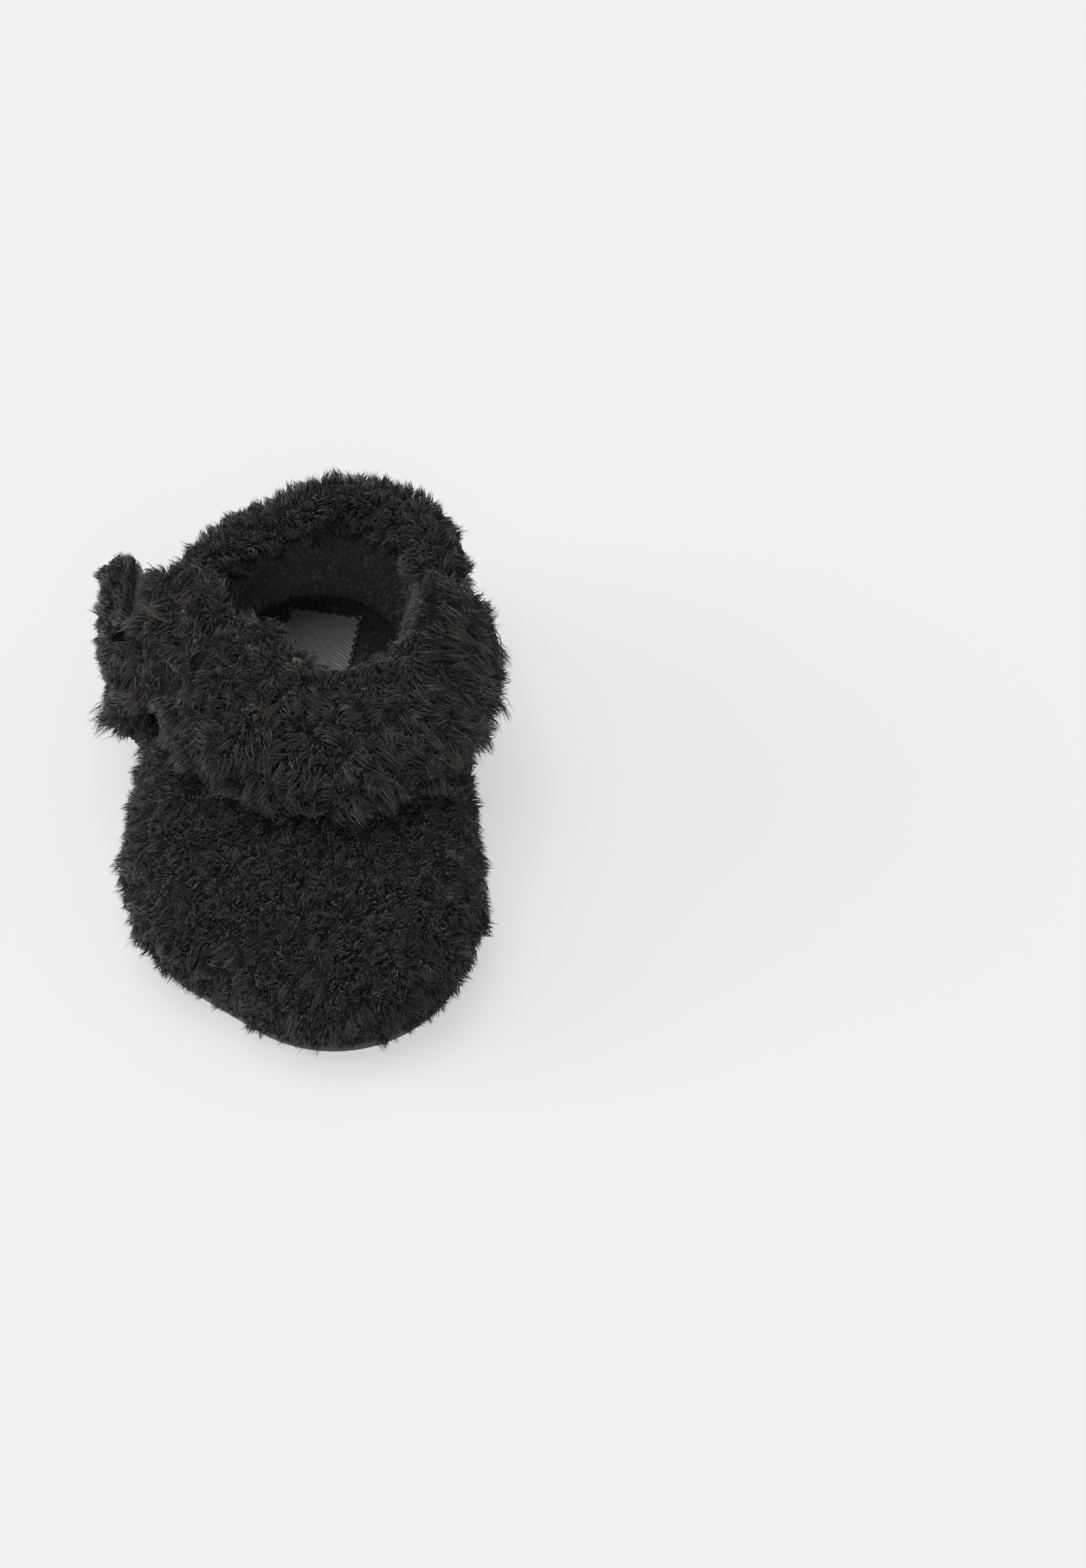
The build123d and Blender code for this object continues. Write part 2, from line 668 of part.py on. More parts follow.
with BuildPart() as hook_tape:
    with Locations((HOOK_BACK_X, LOOP_CENTRE_Y, LOOP_CENTRE_Z)):
        Box(
            HOOK_BASE,
            HOOK_LENGTH,
            HOOK_HEIGHT,
            align=(Align.MIN, Align.CENTER, Align.CENTER),
        )
    with Locations((HOOK_MARGIN_X, LOOP_CENTRE_Y, LOOP_CENTRE_Z)):
        Box(
            HOOK_FIELD,
            HOOK_LENGTH - 2 * HOOK_MARGIN,
            HOOK_HEIGHT - 2 * HOOK_MARGIN,
            align=(Align.MIN, Align.CENTER, Align.CENTER),
        )
hook_tape.part.label = "hook_tape"
export_step(hook_tape.part, "parts/hook_tape.step")

HOOK_SEAM_PLANE = Plane(
    origin=(HOOK_MARGIN_X, LOOP_CENTRE_Y, LOOP_CENTRE_Z),
    x_dir=(0, 1, 0),
    z_dir=(1, 0, 0),
)
with BuildPart() as hook_tape_stitching:
    add(box_seam(HOOK_SEAM_PLANE, HOOK_LENGTH - HOOK_MARGIN, HOOK_HEIGHT - HOOK_MARGIN))
hook_tape_stitching.part.label = "hook_tape_stitching"
export_step(hook_tape_stitching.part, "parts/hook_tape_stitching.step")
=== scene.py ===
"""Looks of a pile-fleece baby bootie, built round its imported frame."""

import json
import math

import bpy
import numpy as np
from bpy.props import FloatProperty, FloatVectorProperty, PointerProperty
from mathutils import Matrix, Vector
from mathutils.bvhtree import BVHTree
from mathutils.kdtree import KDTree


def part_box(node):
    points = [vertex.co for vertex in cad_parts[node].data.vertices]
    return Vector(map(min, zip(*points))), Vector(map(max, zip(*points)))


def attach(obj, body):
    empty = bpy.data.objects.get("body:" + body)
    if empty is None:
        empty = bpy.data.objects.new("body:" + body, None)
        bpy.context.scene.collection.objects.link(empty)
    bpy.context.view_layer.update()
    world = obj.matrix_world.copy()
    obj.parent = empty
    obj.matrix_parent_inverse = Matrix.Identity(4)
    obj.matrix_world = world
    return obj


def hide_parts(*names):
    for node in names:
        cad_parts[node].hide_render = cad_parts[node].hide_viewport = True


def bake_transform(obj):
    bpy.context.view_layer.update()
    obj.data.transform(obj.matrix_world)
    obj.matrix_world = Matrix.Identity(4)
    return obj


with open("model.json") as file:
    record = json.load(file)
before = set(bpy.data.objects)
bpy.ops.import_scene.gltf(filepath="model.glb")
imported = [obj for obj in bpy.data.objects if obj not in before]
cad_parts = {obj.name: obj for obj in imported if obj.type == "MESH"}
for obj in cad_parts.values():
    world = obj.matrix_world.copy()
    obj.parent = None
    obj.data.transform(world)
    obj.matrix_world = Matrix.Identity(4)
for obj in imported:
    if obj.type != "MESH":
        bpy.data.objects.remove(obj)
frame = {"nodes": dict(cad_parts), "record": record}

bl_info = {
    "name": "Baby bootie",
    "version": (1, 0, 0),
    "blender": (4, 5, 0),
    "location": "View3D > Sidebar > Bootie",
    "description": "Builds a pile-fleece baby bootie, piece by piece, round its packed frame",
    "category": "Object",
}

MM = 0.001


def from_hex(code):
    """An sRGB hex colour as linear red, green and blue."""
    shares = [int(code[i : i + 2], 16) / 255 for i in (1, 3, 5)]
    return tuple(c / 12.92 if c <= 0.04045 else ((c + 0.055) / 1.055) ** 2.4 for c in shares)


# ---------------------------------------------------------------- settings


def length(name, description, mm):
    """A length that a user may change, given in millimetres."""
    return FloatProperty(
        name=name, description=description, default=mm * MM, min=0.0, subtype="DISTANCE", unit="LENGTH"
    )


def colour(name, description, code):
    """A colour that a user may change, given as an sRGB hex value."""
    return FloatVectorProperty(
        name=name, description=description, default=from_hex(code), min=0.0, max=1.0, size=3, subtype="COLOR"
    )


class BootieSizes(bpy.types.PropertyGroup):
    vamp_pile: length("Vamp pile", "How far the toe's curly pile stands out of its cloth", 3.4)
    heel_pile: length("Heel pile", "How far the heel's curly pile stands out of its cloth", 3.4)
    collar_pile: length("Collar pile", "How far the collar's pile stands out of its cloth", 3.5)
    band_pile: length("Band pile", "How far the band's longer pile stands out of its cloth", 4.2)
    lining_pile: length("Lining pile", "How far the lining's sheared pile stands out", 1.5)
    tuft: length("Tuft", "How wide one curl of the pile is", 2.3)
    streak: length("Streak", "How wide one lock of the band's pile is", 2.6)
    lock: length("Lock thickness", "How thick one drawn bundle of fibres is", 0.3)
    density: FloatProperty(
        name="Density", description="Share of the full number of fibre bundles",
        default=1.0, min=0.01, max=1.0,
    )


class BootieColours(bpy.types.PropertyGroup):
    curly: colour("Curly pile", "Fleece of the toe and heel", "#352F2A")
    streaky: colour("Long pile", "Fleece of the band, collar and tab", "#403933")
    # The lining's light grey is partly painted light: it brightens the inside, which the lamps hardly reach.
    short: colour("Lining pile", "Sheared fleece inside", "#A5A09E")
    # The footbed is the same sheared fleece as the lining; its much darker colour is painted shade.
    footbed: colour("Footbed pile", "Sheared fleece that the foot stands on", "#3E3B39")
    knit: colour("Backing knit", "Underside of the band and tab", "#232222")
    label: colour("Label", "Grey satin twill", "#5F5E62")
    thread: colour("Thread", "Black sewing thread", "#121212")
    suede: colour("Outsole", "Split suede", "#4A4340")
    tape: colour("Touch tape", "Nylon hooks and loops", "#1C1B1B")
    foam: colour("Foam", "Midsole sheet", "#55545A")
    floor: colour("Floor", "Pale studio floor", "#8E8E8E")


# ---------------------------------------------------------------- modelling helpers


def only(obj):
    """Makes obj the only selected object, and the active one."""
    bpy.ops.object.select_all(action="DESELECT")
    obj.select_set(True)
    bpy.context.view_layer.objects.active = obj


def corners(obj):
    """The mesh's points as an array."""
    points = np.empty(len(obj.data.vertices) * 3)
    obj.data.vertices.foreach_get("co", points)
    return points.reshape(-1, 3)


def normals(obj):
    """The mesh's point normals as an array."""
    directions = np.empty(len(obj.data.vertices) * 3)
    obj.data.vertices.foreach_get("normal", directions)
    return directions.reshape(-1, 3)


def move_to(obj, points):
    """Puts the mesh's points where the array says."""
    obj.data.vertices.foreach_set("co", np.ascontiguousarray(points, dtype=float).ravel())
    obj.data.update()


def modify(obj, kind, **values):
    """Adds a modifier with those values and applies it."""
    only(obj)
    modifier = obj.modifiers.new(kind.title(), kind)
    for key, value in values.items():
        setattr(modifier, key, value)
    bpy.ops.object.modifier_apply(modifier=modifier.name)


def copy_of(name, *nodes):
    """One new object that holds copies of the CAD nodes' meshes, with their loose triangles merged."""
    copies = []
    for node in nodes:
        source = frame["nodes"][node]
        twin = bpy.data.objects.new(name, source.data.copy())
        bpy.context.scene.collection.objects.link(twin)
        copies.append(twin)
    only(copies[0])
    for twin in copies:
        twin.select_set(True)
    if len(copies) > 1:
        bpy.ops.object.join()
    obj = bpy.context.view_layer.objects.active
    obj.name = obj.data.name = name
    obj.data.materials.clear()
    bpy.ops.object.mode_set(mode="EDIT")
    bpy.ops.mesh.select_all(action="SELECT")
    bpy.ops.mesh.remove_doubles(threshold=0.00001)
    bpy.ops.object.mode_set(mode="OBJECT")
    return obj


def soften(obj, voxel, passes):
    """Remeshes a body evenly and rounds its edges, as cloth over filling is."""
    modify(obj, "REMESH", mode="VOXEL", voxel_size=voxel)
    modify(obj, "SMOOTH", factor=0.5, iterations=passes)


def near(obj, *nodes):
    """For each point of the mesh, how far it is from the nearest of the CAD nodes."""
    trees = []
    for node in nodes:
        mesh = frame["nodes"][node].data
        points = [v.co for v in mesh.vertices]
        trees.append(BVHTree.FromPolygons(points, [p.vertices for p in mesh.polygons]))
    return np.array([min(t.find_nearest(v.co)[3] for t in trees) for v in obj.data.vertices])


def ramp(values, low, high):
    """0 below low, 1 above high, and smooth between."""
    share = np.clip((values - low) / (high - low), 0, 1)
    return share * share * (3 - 2 * share)


def group(obj, name, weights):
    """A vertex group with one weight for each point."""
    made = obj.vertex_groups.new(name=name)
    for index, weight in enumerate(weights):
        if weight > 0.001:
            made.add([index], float(weight), "REPLACE")
    return made


PUFF_FRAMES = 20  # of each cloth simulation


def puff(obj, free, cap, pressure):
    """Swells a padded body with a short cloth simulation, by no more than cap at any point.

    free is 0 where the cloth is held and 1 where it may move.
    """
    group(obj, "held", 1 - free)
    start = corners(obj)
    only(obj)
    cloth = obj.modifiers.new("Cloth", "CLOTH")
    cloth.settings.quality = 5
    cloth.settings.mass = 0.15
    cloth.settings.tension_stiffness = cloth.settings.compression_stiffness = 12
    cloth.settings.shear_stiffness = 6
    cloth.settings.bending_stiffness = 0.4
    cloth.settings.use_pressure = True
    cloth.settings.uniform_pressure_force = pressure
    cloth.settings.vertex_group_mass = "held"
    cloth.settings.effector_weights.gravity = 0
    cloth.collision_settings.use_collision = False
    scene = bpy.context.scene
    for step in range(1, PUFF_FRAMES + 1):
        scene.frame_set(step)
    bpy.ops.object.modifier_apply(modifier=cloth.name)
    scene.frame_set(1)
    moved = corners(obj) - start
    far = np.linalg.norm(moved, axis=1, keepdims=True)
    bad = ~np.isfinite(far)
    moved = np.where(bad, 0, moved) * np.minimum(1, cap / np.maximum(np.where(bad, 1, far), 1e-9))
    move_to(obj, start + moved)


def rumple(obj, size, depth, weights, seed=0.0):
    """Presses a cloudy, lumpy pattern of that size into the surface, deeper where the weights are higher."""
    texture = bpy.data.textures.new("lumps", "CLOUDS")
    texture.noise_scale = size
    offset = bpy.data.objects.new("lumps_place", None)
    bpy.context.scene.collection.objects.link(offset)
    offset.location = (seed, seed * 0.7, seed * 0.3)
    bpy.context.view_layer.update()
    lumps = group(obj, "lumps", weights)
    modify(
        obj, "DISPLACE", strength=depth, mid_level=0.5, texture=texture, texture_coords="OBJECT",
        texture_coords_object=offset, vertex_group=lumps.name,
    )
    bpy.data.objects.remove(offset)
    bpy.data.textures.remove(texture)
    obj.vertex_groups.remove(obj.vertex_groups["lumps"])


def unit(vectors):
    """The vectors at length 1."""
    return vectors / np.maximum(np.linalg.norm(vectors, axis=-1, keepdims=True), 1e-12)


def spread_points(obj, weights, count, random):
    """Random points over the mesh's faces, more where the point weights are higher, with their normals."""
    mesh = obj.data
    mesh.calc_loop_triangles()
    triangles = np.empty(len(mesh.loop_triangles) * 3, dtype=np.int32)
    mesh.loop_triangles.foreach_get("vertices", triangles)
    triangles = triangles.reshape(-1, 3)
    points, directions = corners(obj), normals(obj)
    a, b, c = (points[triangles[:, i]] for i in range(3))
    area = np.linalg.norm(np.cross(b - a, c - a), axis=1) / 2
    chance = area * weights[triangles].mean(axis=1)
    pick = random.choice(len(area), count, p=chance / chance.sum())
    u, v = random.random((2, count, 1))
    u, v = np.where(u + v > 1, 1 - u, u), np.where(u + v > 1, 1 - v, v)
    share = (1 - u - v, u, v)
    corner = triangles[pick]
    place = sum(s * points[corner[:, i]] for i, s in enumerate(share))
    direction = unit(sum(s * directions[corner[:, i]] for i, s in enumerate(share)))
    return place, direction, chance.sum()


SIDES = 3  # of a lock's cross-section
CURL_HEIGHTS = (0.65, 1.2)  # lowest and highest curl, as shares of the pile
LOCK_HEIGHTS = (0.85, 1.1)  # shortest and longest lock of a curl, as shares of the curl's height
LOCK_WIDTHS = (0.7, 1.3)  # thinnest and thickest lock, as shares of the lock's thickness
RISE = 0.85  # how far a leaning lock still rises, as a share of its height
STRAY_LENGTH = 1.4  # of a lock that stands out of the coat, as a share of a usual one
SUNK = 0.12  # how deep a lock's root is in the cloth, as a share of the pile
TAPER = 0.55  # power by which a lock thins towards its tip


def grow_pile(name, skin, weights, triangles, pile, tuft, thick, seed, comb, lean=0.5, segments=2,
              tight=0.7, wild=0.2, stretch=1.6, strays=0.015, dip=0.5):
    """A coat of fibre locks on a skin. They gather into curls of the tuft's size, each leaning its own way.

    comb gives each curl's common direction from its place and normal. stretch is how many times as long
    along the comb a curl is as it is wide. strays is the share of locks that stand out of the coat, and
    dip is how much lower a curl is at its rim than in its middle.
    """
    random = np.random.default_rng(seed)
    per_lock = (segments - 1) * SIDES * 2 + SIDES + 1
    count = max(50, int(triangles / per_lock * bpy.context.scene.bootie_sizes.density))
    roots, up, area = spread_points(skin, weights, count, random)
    curls = max(8, int(area / (tuft**2 * stretch)))
    centre, centre_up, _ = spread_points(skin, weights, curls, random)
    lay = comb(centre, centre_up)
    lay = lay - (lay * centre_up).sum(1, keepdims=True) * centre_up
    along = unit(lay.mean(axis=0) + 1e-9)

    def squeezed(points):
        return points - (points @ along)[:, None] * along * (1 - 1 / stretch)

    tree = KDTree(curls)
    for index, place in enumerate(squeezed(centre)):
        tree.insert(place, index)
    tree.balance()
    mine = np.array([tree.find(place)[1] for place in squeezed(roots)])
    side = unit(np.cross(centre_up, random.normal(size=(curls, 3))))
    lay = lay + side * 0.7
    tall = random.uniform(*CURL_HEIGHTS, (curls, 1)) * pile
    tip_centre = centre + centre_up * tall * RISE + lay * tall * lean
    offset = roots - centre[mine]
    rim = np.minimum(1, np.linalg.norm(squeezed(offset), axis=1, keepdims=True) / (0.62 * tuft))
    height = tall[mine] * random.uniform(*LOCK_HEIGHTS, (count, 1)) * (1 - dip * rim**2)
    height = height * np.where(random.random((count, 1)) < strays, STRAY_LENGTH, 1.0)
    # A lock's tip lies between where it would stand alone and where its curl gathers it.
    free_tip = roots + up * height * RISE + lay[mine] * height * lean
    gathered = tip_centre[mine] + offset * 0.35 + up * (height - tall[mine]) * 0.6
    tips = free_tip * (1 - tight) + gathered * tight + random.normal(size=(count, 3)) * wild * pile * 0.5
    swirl = unit(np.cross(up, lay[mine] + 1e-6)) * random.normal(size=(count, 1)) * pile * 0.22
    bend = roots + up * height * 0.7 + swirl
    start = roots - up * pile * SUNK
    # No lock reaches into the floor.
    floor = 0.4 * MM
    for path in (tips, bend, start):
        path[:, 2] = np.maximum(path[:, 2], floor)
    frame_a = unit(np.cross(tips - start, random.normal(size=(count, 3))))
    frame_b = unit(np.cross(tips - start, frame_a))
    radius = thick / 2 * random.uniform(*LOCK_WIDTHS, (count, 1))
    rings = []
    for ring in range(segments):
        t = ring / segments
        middle = start * (1 - t) ** 2 + bend * 2 * t * (1 - t) + tips * t * t
        size = radius * (1 - t) ** TAPER
        for corner in range(SIDES):
            angle = 2 * math.pi * corner / SIDES
            rings.append(middle + size * (math.cos(angle) * frame_a + math.sin(angle) * frame_b))
    rings.append(tips)
    pattern = [tuple(range(SIDES))[::-1]]
    pattern += tube_faces(segments, SIDES)
    last = (segments - 1) * SIDES
    for corner in range(SIDES):
        pattern.append((last + corner, last + (corner + 1) % SIDES, len(rings) - 1))
    coat = mesh_of(name, np.stack(rings, axis=1).reshape(-1, 3), pattern, count, len(rings))
    # Light reaches a lock's tip and the middle of a curl, and hardly its root.
    up_lock = np.append(np.repeat(np.arange(segments) / segments, SIDES), 1.0)
    tone = 0.1 + 0.8 * up_lock[None, :] * (1 - 0.55 * rim) + random.normal(size=(count, 1)) * 0.14
    shades = coat.data.attributes.new("shade", "FLOAT", "POINT")
    shades.data.foreach_set("value", np.clip(tone, 0, 1).ravel())
    return coat


def tube_faces(rings, sides):
    """The faces between a tube's rings of points, which follow one another from its start to its end."""
    faces = []
    for ring in range(rings - 1):
        for corner in range(sides):
            low, high = ring * sides, (ring + 1) * sides
            after = (corner + 1) % sides
            faces.append((low + corner, low + after, high + after, high + corner))
    return faces


def mesh_of(name, points, pattern, count, per_vertex):
    """A mesh of many like shapes. pattern is one shape's faces, and points are all shapes' points."""
    mesh = bpy.data.meshes.new(name)
    flat = np.concatenate([np.array(face) for face in pattern])
    sizes = np.array([len(face) for face in pattern])
    loops = (flat[None, :] + (np.arange(count) * per_vertex)[:, None]).ravel()
    totals = np.tile(sizes, count)
    starts = np.concatenate([[0], np.cumsum(totals)[:-1]])
    mesh.vertices.add(len(points))
    mesh.vertices.foreach_set("co", points.ravel())
    mesh.loops.add(len(loops))
    mesh.loops.foreach_set("vertex_index", loops.astype(np.int32))
    mesh.polygons.add(len(totals))
    mesh.polygons.foreach_set("loop_start", starts.astype(np.int32))
    mesh.polygons.foreach_set("loop_total", totals.astype(np.int32))
    mesh.update(calc_edges=True)
    mesh.validate()
    mesh.polygons.foreach_set("use_smooth", np.ones(len(mesh.polygons), dtype=bool))
    obj = bpy.data.objects.new(name, mesh)
    bpy.context.scene.collection.objects.link(obj)
    return obj


def ridges(obj, heading, spacing, depth, weights):
    """Presses parallel folds into the surface. heading is their direction in plan, in degrees from +X."""
    points = corners(obj)
    turn = math.radians(heading)
    across = points[:, 0] * -math.sin(turn) + points[:, 1] * math.cos(turn)
    wander = 1.2 * MM * np.sin(points[:, 1] / (6 * MM)) + 0.9 * MM * np.sin(points[:, 0] / (4 * MM) + 1)
    wave = np.sin(2 * math.pi * (across + wander) / spacing)
    move_to(obj, points + normals(obj) * (wave * weights * depth)[:, None])


def dress(obj, material, body=None):
    """Gives a piece its material, and lets it ride on a body."""
    obj.data.materials.clear()
    obj.data.materials.append(material)
    if body:
        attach(obj, body)


# ---------------------------------------------------------------- materials


def add_node(tree, kind, links=(), **values):
    """Adds a node, sets its own settings and sockets, and links (socket name, output) pairs into it."""
    node = tree.nodes.new(kind)
    for key, value in values.items():
        if key in node.inputs:
            node.inputs[key].default_value = value
        else:
            setattr(node, key, value)
    for socket, output in links:
        tree.links.new(node.inputs[socket], output)
    return node


def new_material(name):
    """An empty node material with its Principled shader."""
    material = bpy.data.materials.new(name)
    material.use_nodes = True
    shader = material.node_tree.nodes["Principled BSDF"]
    return material, material.node_tree, shader


def shade(base, share):
    """A linear colour made that many times as bright, with an alpha."""
    return (*[min(1.0, c * share) for c in base], 1.0)


def mottled(tree, parts, span, low, high):
    """A colour between low and high, by where the sum of the parts stands in the span."""
    total = parts[0]
    for part in parts[1:]:
        total = add_node(tree, "ShaderNodeMath", [(0, total), (1, part)], operation="ADD").outputs[0]
    limits = {"From Min": span[0], "From Max": span[1]}
    tone = add_node(tree, "ShaderNodeMapRange", [("Value", total)], **limits)
    colours = add_node(tree, "ShaderNodeValToRGB", [("Fac", tone.outputs["Result"])])
    colours.color_ramp.elements[0].color = low
    colours.color_ramp.elements[1].color = high
    return colours.outputs["Color"]


def noise(tree, place, size, detail):
    """A cloudy pattern whose patches are of that size."""
    node = add_node(tree, "ShaderNodeTexNoise", [("Vector", place)], Scale=1 / size, Detail=detail)
    return node.outputs["Fac"]


def fleece(name, base, patch, deep=0.03):
    """Polyester pile fleece, knitted, brushed and tumbled: curled fibres scatter light and leave no gloss.

    The locks carry a painted shade, dark at their roots and light at their tips. The knitted ground has none
    and comes out at the share deep of the base colour, as painted shade under the pile.
    """
    material, tree, shader = new_material(name)
    place = add_node(tree, "ShaderNodeTexCoord").outputs["Object"]
    wide, fine = noise(tree, place, patch, 3.0), noise(tree, place, 0.5 * MM, 1.0)
    lock = add_node(tree, "ShaderNodeAttribute", attribute_name="shade").outputs["Fac"]
    colours = mottled(tree, (wide, fine, lock), (1.3, 2.1), shade(base, deep), shade(base, 1.7))
    tree.links.new(shader.inputs["Base Color"], colours)
    shader.inputs["Roughness"].default_value = 0.85
    shader.inputs["Specular IOR Level"].default_value = 0.2
    shader.inputs["Sheen Weight"].default_value = 0.3
    shader.inputs["Sheen Roughness"].default_value = 0.45
    return material


def suede(name, base):
    """Split suede, buffed on its outer side. Its nap is matt, fine and slightly uneven in tone."""
    material, tree, shader = new_material(name)
    place = add_node(tree, "ShaderNodeTexCoord").outputs["Object"]
    nap, cloud = noise(tree, place, 0.35 * MM, 4.0), noise(tree, place, 9 * MM, 3.0)
    colours = mottled(tree, (nap, cloud), (0.7, 1.3), shade(base, 0.75), shade(base, 1.3))
    tree.links.new(shader.inputs["Base Color"], colours)
    bump = add_node(tree, "ShaderNodeBump", [("Height", nap)], Strength=0.4, Distance=0.1 * MM)
    tree.links.new(shader.inputs["Normal"], bump.outputs["Normal"])
    shader.inputs["Roughness"].default_value = 0.92
    shader.inputs["Specular IOR Level"].default_value = 0.3
    shader.inputs["Sheen Weight"].default_value = 0.2
    return material


def woven(name, base, spacing, axis, roughness=0.7):
    """A plain thread or knit: fine ribs of the given spacing along one axis of the object."""
    material, tree, shader = new_material(name)
    place = add_node(tree, "ShaderNodeTexCoord").outputs["Object"]
    # The wave texture repeats 20 / (2 pi) times in each unit of its scale.
    ribs = add_node(
        tree, "ShaderNodeTexWave", [("Vector", place)], bands_direction=axis,
        Scale=2 * math.pi / spacing / 20, Distortion=0.6, Detail=1.0,
    ).outputs["Fac"]
    grain = noise(tree, place, 0.6 * MM, 2.0)
    colours = mottled(tree, (ribs, grain), (0.4, 1.6), shade(base, 0.7), shade(base, 1.3))
    tree.links.new(shader.inputs["Base Color"], colours)
    bump = add_node(tree, "ShaderNodeBump", [("Height", ribs)], Strength=0.5, Distance=0.1 * MM)
    tree.links.new(shader.inputs["Normal"], bump.outputs["Normal"])
    shader.inputs["Roughness"].default_value = roughness
    return material


# ---------------------------------------------------------------- pieces


class BOOTIE_OT_stage(bpy.types.Operator):
    """Adds the pale floor, the soft light and the camera"""

    bl_idname = "bootie.stage"
    bl_label = "Stage"

    def execute(self, context):
        scene = context.scene
        colours = scene.bootie_colours
        bpy.ops.mesh.primitive_plane_add(size=8.0, location=(0, 0, 0))
        floor = context.object
        floor.name = "floor"
        material, _, shader = new_material("painted floor")
        shader.inputs["Base Color"].default_value = (*colours.floor, 1)
        shader.inputs["Roughness"].default_value = 0.9
        shader.inputs["Specular IOR Level"].default_value = 0.0
        # A light table: it glows a little, so that shadows on it stay short and pale.
        shader.inputs["Emission Color"].default_value = (1, 1, 1, 1)
        shader.inputs["Emission Strength"].default_value = 0.55
        floor.data.materials.append(material)

        scene.view_settings.view_transform = "Standard"
        world = bpy.data.worlds.new("studio")
        scene.world = world
        world.use_nodes = True
        tree = world.node_tree
        back = tree.nodes["Background"]
        back.inputs["Color"].default_value = (1, 1, 1, 1)
        back.inputs["Strength"].default_value = 0.42
        for name, towards, power, spread in (
            ("overhead softbox", (-0.17, 0.14, 1.0), 1.80, 45),
            ("side window", (-1.0, 0.05, 0.28), 1.90, 40),
            ("front fill", (0.1, -0.8, 0.9), 0.32, 30),
        ):
            sun = bpy.data.lights.new(name, "SUN")
            sun.energy = power
            sun.angle = math.radians(spread)
            lamp = bpy.data.objects.new(name, sun)
            scene.collection.objects.link(lamp)
            lamp.rotation_euler = Vector(towards).to_track_quat("Z", "Y").to_euler()

        # A long lens stands 900 mm off, and the bootie stands left of the frame's middle.
        distance, turn, tilt = 0.9, math.radians(0.9), math.radians(55)
        back_to_camera = Vector(
            (math.sin(turn) * math.cos(tilt), -math.cos(turn) * math.cos(tilt), math.sin(tilt))
        )
        rotation = back_to_camera.to_track_quat("Z", "Y")
        right, up = rotation @ Vector((1, 0, 0)), rotation @ Vector((0, 1, 0))
        aim = right * 49.2 * MM + up * 6.05 * MM
        data = bpy.data.cameras.new("camera")
        data.sensor_width = 36.0
        data.lens = 100.0
        camera = bpy.data.objects.new("camera", data)
        scene.collection.objects.link(camera)
        camera.location = aim + back_to_camera * distance
        camera.rotation_mode = "QUATERNION"
        camera.rotation_quaternion = rotation
        scene.camera = camera
        return {"FINISHED"}


class BOOTIE_OT_sole(bpy.types.Operator):
    """Finishes the outsole, the foam above it and the thread that joins it to the upper"""

    bl_idname = "bootie.sole"
    bl_label = "Sole"

    def execute(self, context):
        colours = context.scene.bootie_colours
        finish("outsole", suede("split suede", colours.suede))
        finish("midsole_foam", woven("foam sheet", colours.foam, 1.5 * MM, "Z"))
        finish("sole_seam_thread", woven("bonded thread", colours.thread, 0.4 * MM, "DIAGONAL"))
        return {"FINISHED"}


def finish(node, material):
    """Gives a CAD node that stays as it is its material."""
    mesh = frame["nodes"][node].data
    mesh.materials.clear()
    mesh.materials.append(material)


def toeward(place, up):
    """Pile that is brushed towards the toe, and outwards and down its sides."""
    side = np.clip(place[:, 0] / (33 * MM), -1, 1)
    return np.stack([side * 0.35 - 0.15, np.full(len(place), -0.6), np.full(len(place), -0.3)], axis=1)


def downward(place, up):
    """Pile that hangs."""
    return np.tile(np.array([0.0, 0.1, -0.45]), (len(place), 1))


def ruffled(place, up):
    """Pile with hardly any common direction."""
    return np.tile(np.array([0.02, 0.0, -0.05]), (len(place), 1))


def swept(place, up):
    """Long pile that is combed from the opening over the band's front edge, and outwards at its sides."""
    side = np.clip(place[:, 0] / (38 * MM), -1, 1)
    return np.stack([side * 0.75 + 0.1, -0.75 + 0.25 * np.abs(side), np.full(len(place), -0.35)], axis=1)


def backward(place, up):
    """Pile that is combed to the tab's free end."""
    return np.tile(np.array([-0.1, 0.5, -0.25]), (len(place), 1))


class BOOTIE_OT_vamp(bpy.types.Operator):
    """Makes the toe's fleece and its curly pile"""

    bl_idname = "bootie.vamp"
    bl_label = "Vamp"

    def execute(self, context):
        sizes = context.scene.bootie_sizes
        colours = context.scene.bootie_colours
        cloth = fleece("curly pile fleece", colours.curly, 3 * MM)
        skin = copy_of("vamp_fleece", "vamp_shell")
        soften(skin, 1.0 * MM, 2)
        modify(skin, "SUBSURF", levels=1, render_levels=1)
        outer = ramp(near(skin, "vamp_lining"), 1.5 * MM, 4 * MM)
        move_to(skin, corners(skin) - normals(skin) * (outer * sizes.vamp_pile * 0.62)[:, None])
        rumple(skin, 8 * MM, 2.4 * MM, outer, 0.11)
        rumple(skin, sizes.tuft, 1.2 * MM, outer)
        ridges(skin, -50, 6 * MM, 0.5 * MM, outer)
        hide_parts("vamp_shell")
        dress(skin, cloth, "shoe")
        for part in range(2):
            coat = grow_pile(
                f"vamp_pile_{part + 1}", skin, outer, 180000, sizes.vamp_pile, sizes.tuft, sizes.lock,
                11 + part, toeward, lean=0.45, tight=0.8, wild=0.15, dip=0.75, stretch=1.9,
            )
            dress(coat, cloth, "shoe")
        return {"FINISHED"}


